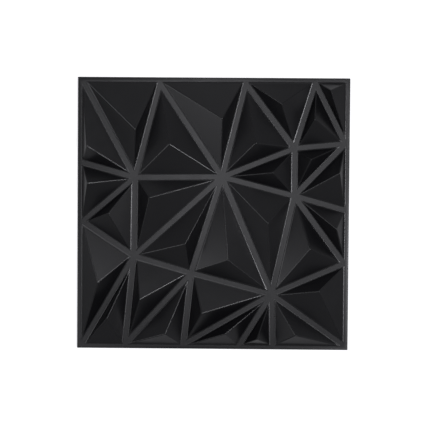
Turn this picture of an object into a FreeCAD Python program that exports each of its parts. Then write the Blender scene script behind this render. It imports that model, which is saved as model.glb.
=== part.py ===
import FreeCAD, Part
import os

import Sketcher

# A square wall tile thermoformed from one plastic sheet, lying face up with its back on the floor.
# The origin is the middle of the back, +Y is the tile's top edge when it hangs, +Z points into the room.
# Flat channels, and a flat rim around them, part 28 three-sided pyramids with off-centre peaks.
# The sheet has one thickness throughout, so the back is open and follows the front.

document = FreeCAD.newDocument("wall_panel")
sizes = document.addObject("Spreadsheet::Sheet", "Sizes")

DIMENSIONS = [
    ("tile_side", 500, "side of the square tile"),
    ("relief", 35, "from the wall to the peaks of the pyramids"),
    ("flat_height", 4, "from the wall to the face of the channels and of the rim"),
    ("sheet", 1, "thickness of the plastic sheet"),
    ("channel", 11.5, "width of the flat channel between two pyramids"),
    ("rim", 9, "width of the flat rim between the tile's edge and the pyramids"),
]
for row, (alias, value, meaning) in enumerate(DIMENSIONS, start=1):
    sizes.set(f"A{row}", meaning)
    sizes.set(f"B{row}", str(value))
    sizes.setAlias(f"B{row}", alias)
document.recompute()

# Where the centre lines of the channels meet, as shares of the tile's side from its middle.
JUNCTIONS = {
    "west": (-0.288, 0.132), "hub": (0.033, 0.136), "north_east": (0.298, 0.242), "east": (0.298, 0.068),
    "south_west": (-0.291, -0.158), "south": (-0.079, -0.219), "south_east": (0.218, -0.295),
    "top_left": (-0.482, 0.487), "top_1": (-0.198, 0.478), "top_2": (0.117, 0.479),
    "top_3": (0.372, 0.481), "top_right": (0.490, 0.490),
    "right_1": (0.484, 0.260), "right_2": (0.491, 0.015), "right_3": (0.483, -0.180),
    "bottom_right": (0.492, -0.487), "bottom_4": (0.223, -0.490), "bottom_3": (0.099, -0.486),
    "bottom_2": (-0.106, -0.484), "bottom_1": (-0.322, -0.483), "bottom_left": (-0.484, -0.489),
    "left_2": (-0.481, -0.032), "left_1": (-0.487, 0.186),
}

# Each pyramid: the three junctions around it, anticlockwise, and its peak as shares of the tile's side.
PYRAMIDS = [
    ("top_1", "top_left", "west", (-0.282, 0.305)),
    ("top_left", "left_1", "west", (-0.460, 0.244)),
    ("left_1", "left_2", "west", (-0.457, 0.110)),
    ("left_2", "south_west", "west", (-0.381, 0.001)),
    ("left_2", "bottom_left", "south_west", (-0.417, -0.253)),
    ("bottom_left", "bottom_1", "south_west", (-0.384, -0.381)),
    ("bottom_1", "south", "south_west", (-0.265, -0.314)),
    ("bottom_1", "bottom_2", "south", (-0.171, -0.438)),
    ("bottom_2", "south_east", "south", (-0.038, -0.362)),
    ("bottom_2", "bottom_3", "south_east", (0.047, -0.435)),
    ("bottom_3", "bottom_4", "south_east", (0.163, -0.455)),
    ("bottom_4", "bottom_right", "south_east", (0.305, -0.439)),
    ("bottom_right", "right_3", "south_east", (0.387, -0.277)),
    ("south_east", "right_3", "east", (0.355, -0.124)),
    ("right_3", "right_2", "east", (0.449, -0.051)),
    ("right_2", "right_1", "east", (0.459, 0.153)),
    ("east", "right_1", "north_east", (0.355, 0.201)),
    ("right_1", "top_3", "north_east", (0.366, 0.346)),
    ("right_1", "top_right", "top_3", (0.422, 0.451)),
    ("top_3", "top_2", "north_east", (0.246, 0.401)),
    ("top_2", "hub", "north_east", (0.154, 0.258)),
    ("hub", "east", "north_east", (0.217, 0.152)),
    ("hub", "south_east", "east", (0.200, -0.031)),
    ("hub", "south", "south_east", (0.056, -0.167)),
    ("hub", "south_west", "south", (-0.100, -0.109)),
    ("hub", "west", "south_west", (-0.231, 0.059)),
    ("hub", "top_1", "west", (-0.159, 0.253)),
    ("hub", "top_2", "top_1", (0.032, 0.346)),
]

# The outward directions of the tile's four edges.
OUTWARD = {"top": (0, 1), "right": (1, 0), "bottom": (0, -1), "left": (-1, 0)}


def spot(shares):
    """A point of the layout at its place on the tile."""
    return FreeCAD.Vector(shares[0] * sizes.tile_side, shares[1] * sizes.tile_side, 0)


def edge_beside(first, second):
    """The edge of the tile that two junctions share, or None where a channel joins them."""
    shared = set(first.split("_")) & set(second.split("_")) & set(OUTWARD)
    return shared.pop() if shared else None


def foot_line(first, second):
    """A point on one foot line of a pyramid, and the line's direction."""
    edge = edge_beside(first, second)
    if edge:
        out = FreeCAD.Vector(*OUTWARD[edge], 0)
        return out * (sizes.tile_side / 2 - sizes.rim), FreeCAD.Vector(-out.y, out.x, 0)
    start = spot(JUNCTIONS[first])
    along = (spot(JUNCTIONS[second]) - start).normalize()
    return start + FreeCAD.Vector(-along.y, along.x, 0) * (sizes.channel / 2), along


def crossing(line, other):
    """Where two foot lines meet."""
    start, along = line
    other_start, other_along = other
    across = FreeCAD.Vector(-other_along.y, other_along.x, 0)
    return start + along * ((other_start - start).dot(across) / along.dot(across))


def new_sketch(name, height=None):
    """A sketch on the tile's back plane, or lifted to the named height."""
    sketch = panel.newObject("Sketcher::SketchObject", name)
    back = next(plane for plane in panel.Origin.OriginFeatures if plane.Role == "XY_Plane")
    sketch.AttachmentSupport = [(back, "")]
    sketch.MapMode = "FlatFace"
    if height:
        sketch.setExpression("AttachmentOffset.Base.z", f"Sizes.{height}")
    return sketch


def fix_place(sketch, line, end, across, up):
    """Ties one end of a line to its two distances from the middle of the tile."""
    now = sketch.getPoint(line, end)
    for kind, distance, formula in (("DistanceX", now.x, across), ("DistanceY", now.y, up)):
        if formula is not None:
            size = sketch.addConstraint(Sketcher.Constraint(kind, -1, 1, line, end, distance))
            sketch.setExpression(f"Constraints[{size}]", formula)


def closed_outline(sketch, corners):
    """Straight lines from corner to corner, joined at their ends."""
    count = len(corners)
    for i in range(count):
        sketch.addGeometry(Part.LineSegment(corners[i], corners[(i + 1) % count]), False)
    for i in range(count):
        sketch.addConstraint(Sketcher.Constraint("Coincident", i, 2, (i + 1) % count, 1))


def slab():
    """The square block that the pyramids stand on, as high as the flats."""
    sketch = new_sketch("Outline")
    signs = [(-1, -1), (1, -1), (1, 1), (-1, 1)]
    closed_outline(sketch, [spot((0.5 * across, 0.5 * up)) for across, up in signs])
    for line, (across, up) in enumerate(signs):
        fix_place(sketch, line, 1, f"Sizes.tile_side * {0.5 * across}", f"Sizes.tile_side * {0.5 * up}")
    pad = panel.newObject("PartDesign::Pad", "Slab")
    pad.Profile = sketch
    pad.setExpression("Length", "Sizes.flat_height")


def pyramid(number, junctions, peak):
    """A foot triangle, half a channel or the rim in from the lines around it, lofted to its peak."""
    sides = [(junctions[i], junctions[(i + 1) % 3]) for i in range(3)]
    lines = [foot_line(*side) for side in sides]
    foot = new_sketch(f"Foot{number}", "flat_height")
    closed_outline(foot, [crossing(lines[i - 1], lines[i]) for i in range(3)])
    for i, side in enumerate(sides):
        edge = edge_beside(*side)
        if edge:
            across, up = OUTWARD[edge]
            foot.addConstraint(Sketcher.Constraint("Vertical" if across else "Horizontal", i))
            reach = f"{across + up} * (Sizes.tile_side / 2 - Sizes.rim)"
            fix_place(foot, i, 1, reach if across else None, reach if up else None)
            continue
        centre_line = foot.addGeometry(Part.LineSegment(*(spot(JUNCTIONS[name]) for name in side)), True)
        for end, name in enumerate(side, start=1):
            across, up = JUNCTIONS[name]
            fix_place(foot, centre_line, end, f"Sizes.tile_side * ({across})", f"Sizes.tile_side * ({up})")
        foot.addConstraint(Sketcher.Constraint("Parallel", centre_line, i))
        gap = foot.addConstraint(Sketcher.Constraint("Distance", i, 1, centre_line, sizes.channel / 2))
        foot.setExpression(f"Constraints[{gap}]", "Sizes.channel / 2")
    top = new_sketch(f"Peak{number}", "relief")
    top.addGeometry(Part.Point(spot(peak)), False)
    fix_place(top, 0, 1, f"Sizes.tile_side * ({peak[0]})", f"Sizes.tile_side * ({peak[1]})")
    loft = panel.newObject("PartDesign::AdditiveLoft", f"Pyramid{number}")
    loft.Profile = foot
    loft.Sections = [(top, ["Vertex1"])]
    loft.Ruled = True
    return loft


panel = document.addObject("PartDesign::Body", "Panel")
panel.Label = "wall_panel"
panel.Placement = FreeCAD.Placement()
slab()
for number, (first, second, third, peak) in enumerate(PYRAMIDS, start=1):
    relief = pyramid(number, (first, second, third), peak)
document.recompute()

# The block becomes a sheet: its back face is open, and every other face keeps the same thickness.
back_face = next(i for i, face in enumerate(relief.Shape.Faces, start=1) if abs(face.CenterOfMass.z) < 1e-6)
shell = panel.newObject("PartDesign::Thickness", "Shell")
shell.Base = (relief, [f"Face{back_face}"])
shell.setExpression("Value", "Sizes.sheet")
shell.Reversed = True
shell.Mode = "Skin"
shell.Join = "Intersection"
document.recompute()

for item in document.Objects:
    if {"Invalid", "Error"} & set(item.State):
        raise RuntimeError(f"{item.Label} didn't recompute: {item.State}")
if shell.Shape.Volume > 0.5 * relief.Shape.Volume:
    raise RuntimeError("the shell wasn't hollowed")
os.makedirs("parts", exist_ok=True)
for node in [panel]:
    if node.Shape.isNull() or not node.Shape.isValid() or len(node.Shape.Solids) != 1:
        raise RuntimeError(f"{node.Label} isn't one valid solid")
    node.Shape.exportStep(f"parts/{node.Label}.step")
    print(node.Label, node.Shape.BoundBox, round(node.Shape.Volume), "mm3")
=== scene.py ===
import math

import bmesh
import bpy
from mathutils import Euler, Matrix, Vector


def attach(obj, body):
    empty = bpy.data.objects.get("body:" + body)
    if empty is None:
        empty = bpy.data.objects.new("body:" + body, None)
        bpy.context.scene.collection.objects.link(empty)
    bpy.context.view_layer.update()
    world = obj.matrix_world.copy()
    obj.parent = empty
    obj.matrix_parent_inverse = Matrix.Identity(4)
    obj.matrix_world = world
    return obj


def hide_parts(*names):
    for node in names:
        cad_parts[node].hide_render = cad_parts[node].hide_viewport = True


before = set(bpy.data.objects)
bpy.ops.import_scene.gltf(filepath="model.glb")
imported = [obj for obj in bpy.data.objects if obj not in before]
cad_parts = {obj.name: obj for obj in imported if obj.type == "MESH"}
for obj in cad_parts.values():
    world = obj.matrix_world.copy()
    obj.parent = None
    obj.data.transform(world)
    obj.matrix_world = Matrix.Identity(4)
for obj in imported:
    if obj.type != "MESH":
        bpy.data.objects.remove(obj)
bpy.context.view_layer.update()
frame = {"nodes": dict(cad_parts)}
print("frame loaded:", ", ".join(frame["nodes"]))


def linearColour(hexValue):
    # an sRGB hex value as the linear colour, with full alpha, that a shader takes
    channels = [int(hexValue[i:i + 2], 16) / 255 for i in (1, 3, 5)]
    return [c / 12.92 if c <= 0.04045 else ((c + 0.055) / 1.055) ** 2.4 for c in channels] + [1.0]


def addNode(tree, kind, settings=None, inputs=None):
    # one shader node, its settings, and each input given a value or linked to another node's output
    node = tree.nodes.new(kind)
    for name, value in (settings or {}).items():
        setattr(node, name, value)
    for name, value in (inputs or {}).items():
        if isinstance(value, bpy.types.NodeSocket):
            tree.links.new(value, node.inputs[name])
        else:
            node.inputs[name].default_value = value
    return node


def newMaterial(name):
    # an empty material, and the node tree to fill
    material = bpy.data.materials.new(name)
    material.use_nodes = True
    material.node_tree.nodes.clear()
    return material, material.node_tree


# The vacuum-formed sheet: a merged copy of the CAD solid, with its creases rounded as a draped sheet
# rounds them. Widths and distances are in metres, angles in degrees

panelShape = {
    "ridgeWidth": 0.0028,      # across the rounded ridge between two facets
    "footWidth": 0.0036,       # across the hollow where a facet runs into a channel
    "lipWidth": 0.0020,        # across the rounded lip where the rim turns down to the wall
    "cornerWidth": 0.0014,     # across the upright edges at the tile's four corners
    "trimWidth": 0.0003,       # across the cut lower edges that rest on the wall
    "segments": 4,
    "weldDistance": 2e-6,      # corners nearer than this are one corner of the mesh
    "flatAngle": 0.2,          # faces that turn less than this are one face
    "creaseAngle": 1,          # edges that turn less than this stay sharp
    "levelSlope": 0.01,        # a face whose normal rises or falls less than this is upright
    "wallHeight": 0.0001,      # lower than this, a corner rests on the wall
}


def creaseKind(edge, shape):
    # what an edge of the sheet is, from its two faces and its height, or None where it isn't a crease
    if len(edge.link_faces) != 2:
        return None
    turn = edge.calc_face_angle_signed()
    if abs(turn) < math.radians(shape["creaseAngle"]):
        return None
    upper = all(face.normal.z > shape["levelSlope"] for face in edge.link_faces)
    lower = all(face.normal.z < -shape["levelSlope"] for face in edge.link_faces)
    if upper or lower:
        return "ridge" if (turn > 0) == upper else "foot"
    heights = [vert.co.z for vert in edge.verts]
    if max(heights) < shape["wallHeight"]:
        return "trim"
    return "corner" if min(heights) < shape["wallHeight"] else "lip"


def formedSheet(node, shape):
    mesh = node.data.copy()
    work = bmesh.new()
    work.from_mesh(mesh)
    bmesh.ops.remove_doubles(work, verts=work.verts, dist=shape["weldDistance"])
    flat = math.radians(shape["flatAngle"])
    bmesh.ops.dissolve_limit(work, angle_limit=flat, verts=work.verts, edges=work.edges)
    counts = {"ridge": 0, "foot": 0, "lip": 0, "corner": 0, "trim": 0}
    widest = max(shape[kind + "Width"] for kind in counts)
    weight = work.edges.layers.float.new("bevel_weight_edge")
    for edge in work.edges:
        kind = creaseKind(edge, shape)
        if kind:
            counts[kind] += 1
            edge[weight] = shape[kind + "Width"] / widest
    work.to_mesh(mesh)
    work.free()
    for face in mesh.polygons:
        face.use_smooth = True
    print("sheet:", len(mesh.polygons), "faces,", counts)
    piece = bpy.data.objects.new("formed_sheet", mesh)
    bpy.context.scene.collection.objects.link(piece)
    bevel = piece.modifiers.new("roundedCreases", "BEVEL")
    bevel.limit_method = "WEIGHT"
    bevel.offset_type = "WIDTH"
    bevel.width = widest
    bevel.segments = shape["segments"]
    bevel.use_clamp_overlap = False
    bevel.loop_slide = False
    bevel.harden_normals = True
    bevel.miter_outer = "MITER_SHARP"
    bevel.material = 1         # the second of the sheet's materials
    return piece


sheet = formedSheet(frame["nodes"]["wall_panel"], panelShape)

# Rigid PVC sheet, vacuum formed over a satin mould: near black, with an even low sheen and a faint softness
# on the broad faces, where the warm sheet sagged a little before it set. Along the creases the sheet was
# stretched most and is rubbed first, so they are a little glossier

mmPerMetre = 1000

sheetFinish = {
    "colour": "#070709",
    "roughness": 0.32,
    "creaseRoughness": 0.26,
    "ior": 1.40,
    "grainSize": 0.9,           # mm, the mould's matt grain, drawn coarser than the real 0.2 mm so it shows
    "grainHeight": 0.003,       # mm
    "grainDetail": 2.0,         # finer layers of noise in the grain
    "grainHarshness": 0.6,      # how strong those finer layers are
    "sagLength": 55,            # mm, from one soft swell of a face to the next
    "sagHeight": 0.05,          # mm
    "sagDetail": 1.0,
    "sheenPatch": 30,           # mm, size of the patches that are a touch duller or brighter
    "sheenDetail": 3.0,
    "sheenChange": 0.05,        # how much the roughness changes in all
    "sheenRange": (0.3, 0.7),   # of the noise, over which it changes
}


def unevenness(tree, place, millimetres, detail, harshness=0.5):
    # soft noise over the sheet, with features of a real size
    return addNode(tree, "ShaderNodeTexNoise", {"noise_dimensions": "3D"},
                   {"Vector": place, "Scale": mmPerMetre / millimetres,
                    "Detail": detail, "Roughness": harshness}).outputs["Fac"]


def blackPvc(name, finish, middleRoughness):
    material, tree = newMaterial(name)
    place = addNode(tree, "ShaderNodeTexCoord").outputs["Object"]
    grain = unevenness(tree, place, finish["grainSize"], finish["grainDetail"], finish["grainHarshness"])
    sag = unevenness(tree, place, finish["sagLength"], finish["sagDetail"])
    patches = unevenness(tree, place, finish["sheenPatch"], finish["sheenDetail"])
    roughness = addNode(tree, "ShaderNodeMapRange", None,
                        {"Value": patches,
                         "From Min": finish["sheenRange"][0], "From Max": finish["sheenRange"][1],
                         "To Min": middleRoughness - finish["sheenChange"] / 2,
                         "To Max": middleRoughness + finish["sheenChange"] / 2})
    swell = addNode(tree, "ShaderNodeBump", None,
                    {"Height": sag, "Strength": 1.0, "Distance": finish["sagHeight"] / mmPerMetre})
    bump = addNode(tree, "ShaderNodeBump", None,
                   {"Height": grain, "Strength": 1.0, "Distance": finish["grainHeight"] / mmPerMetre,
                    "Normal": swell.outputs["Normal"]})
    skin = addNode(tree, "ShaderNodeBsdfPrincipled", None,
                   {"Base Color": linearColour(finish["colour"]), "IOR": finish["ior"],
                    "Roughness": roughness.outputs["Result"], "Normal": bump.outputs["Normal"]})
    addNode(tree, "ShaderNodeOutputMaterial", None, {"Surface": skin.outputs["BSDF"]})
    return material


sheet.data.materials.clear()
sheet.data.materials.append(blackPvc("blackPvcVacuumFormedSatin", sheetFinish, sheetFinish["roughness"]))
sheet.data.materials.append(blackPvc("blackPvcStretchedCreases", sheetFinish, sheetFinish["creaseRoughness"]))
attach(sheet, "root")
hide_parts("wall_panel")
print("sheet dressed")

# The floor that the tile lies on: plain pale paint, which keeps the tile's shadow. It is lifted to white for
# the camera, more so out of the lamps' reach, where it meets the white background without a line

floorLook = {
    "size": 12.0,              # metres
    "colour": "#c6c6c6",
    "cameraLift": 0.56,        # around the tile
    "farLift": 0.82,           # out of the lamps' reach
    "liftFrom": 0.6,           # metres from the middle, where the lift starts to grow
    "liftTo": 2.0,             # metres from the middle, where it is full
    "drop": 0.0002,            # metres below the tile, so that the two don't share a plane
}


def paleFloor(look):
    half = look["size"] / 2
    mesh = bpy.data.meshes.new("floor")
    corners = [(-half, -half, 0), (half, -half, 0), (half, half, 0), (-half, half, 0)]
    mesh.from_pydata(corners, [], [(0, 1, 2, 3)])
    floor = bpy.data.objects.new("floor", mesh)
    bpy.context.scene.collection.objects.link(floor)
    floor.location.z = -look["drop"]
    material, tree = newMaterial("paleStudioFloor")
    paint = addNode(tree, "ShaderNodeBsdfDiffuse", None, {"Color": linearColour(look["colour"])})
    path = addNode(tree, "ShaderNodeLightPath")
    place = addNode(tree, "ShaderNodeTexCoord").outputs["Object"]
    reach = addNode(tree, "ShaderNodeVectorMath", {"operation": "LENGTH"}, {0: place})
    amount = addNode(tree, "ShaderNodeMapRange", None,
                     {"Value": reach.outputs["Value"],
                      "From Min": look["liftFrom"], "From Max": look["liftTo"],
                      "To Min": look["cameraLift"], "To Max": look["farLift"]})
    lift = addNode(tree, "ShaderNodeMath", {"operation": "MULTIPLY"},
                   {0: path.outputs["Is Camera Ray"], 1: amount.outputs["Result"]})
    white = addNode(tree, "ShaderNodeEmission", None,
                    {"Color": (1, 1, 1, 1), "Strength": lift.outputs["Value"]})
    both = addNode(tree, "ShaderNodeAddShader", None,
                   {0: paint.outputs["BSDF"], 1: white.outputs["Emission"]})
    addNode(tree, "ShaderNodeOutputMaterial", None, {"Surface": both.outputs["Shader"]})
    floor.data.materials.append(material)


paleFloor(floorLook)
print("floor laid")

# Soft studio light: an even white room and softboxes all round, the strongest on the right

roomLook = {"strength": 0.37, "tint": "#fafaff"}

softboxes = {
    # name: (azimuth from +X, elevation, distance in metres, side in metres, watts)
    "right": (0, 56, 2.2, 0.35, 16),
    "lowerRight": (340, 56, 2.2, 0.35, 5.2),
    "upperRight": (40, 62, 2.2, 0.3, 3.2),
    "back": (110, 72, 2.2, 0.5, 2.8),
    "farBack": (90, 30, 2.2, 0.9, 1.4),
    "left": (180, 42, 2.2, 0.8, 7.6),
    "lowerLeft": (225, 58, 2.2, 0.7, 2.8),
    "overhead": (0, 90, 2.4, 0.8, 6.6),
}


def studioWorld(look):
    world = bpy.data.worlds.new("whiteRoom")
    world.use_nodes = True
    tree = world.node_tree
    tree.nodes.clear()
    path = addNode(tree, "ShaderNodeLightPath")
    room = addNode(tree, "ShaderNodeBackground", None,
                   {"Color": linearColour(look["tint"]), "Strength": look["strength"]})
    white = addNode(tree, "ShaderNodeBackground", None, {"Color": (1, 1, 1, 1), "Strength": 1.0})
    mix = addNode(tree, "ShaderNodeMixShader", None,
                  {0: path.outputs["Is Camera Ray"],
                   1: room.outputs["Background"], 2: white.outputs["Background"]})
    addNode(tree, "ShaderNodeOutputWorld", None, {"Surface": mix.outputs["Shader"]})
    bpy.context.scene.world = world


def addSoftbox(name, tint, azimuth, elevation, distance, side, watts):
    lamp = bpy.data.lights.new(name, "AREA")
    lamp.shape = "SQUARE"
    lamp.size = side
    lamp.energy = watts
    lamp.color = linearColour(tint)[:3]
    box = bpy.data.objects.new(name, lamp)
    turn, tilt = math.radians(azimuth), math.radians(elevation)
    away = Vector((math.cos(turn) * math.cos(tilt), math.sin(turn) * math.cos(tilt), math.sin(tilt)))
    box.location = away * distance
    box.rotation_euler = away.to_track_quat("Z", "Y").to_euler()
    bpy.context.scene.collection.objects.link(box)


studioWorld(roomLook)
for name, place in softboxes.items():
    addSoftbox(name, roomLook["tint"], *place)
print("lights placed")

# The camera looks down on the tile from the photograph's viewpoint, about two metres away

cameraPlace = {
    "position": (0.0227, 0.0600, 2.0),  # metres
    "turn": (-1.703, 0.639, 0.409),     # degrees
    "focalLength": 91.45,               # mm
    "sensorWidth": 36,                  # mm
    "farthestSeen": 50,                 # metres
}


def photoCamera(place):
    camera = bpy.data.objects.new("photoCamera", bpy.data.cameras.new("photoCamera"))
    camera.data.sensor_width = place["sensorWidth"]
    camera.data.lens = place["focalLength"]
    camera.data.clip_end = place["farthestSeen"]
    camera.location = place["position"]
    camera.rotation_euler = Euler([math.radians(angle) for angle in place["turn"]], "XYZ")
    bpy.context.scene.collection.objects.link(camera)
    bpy.context.scene.camera = camera


photoCamera(cameraPlace)
bpy.context.scene.view_settings.view_transform = "Standard"
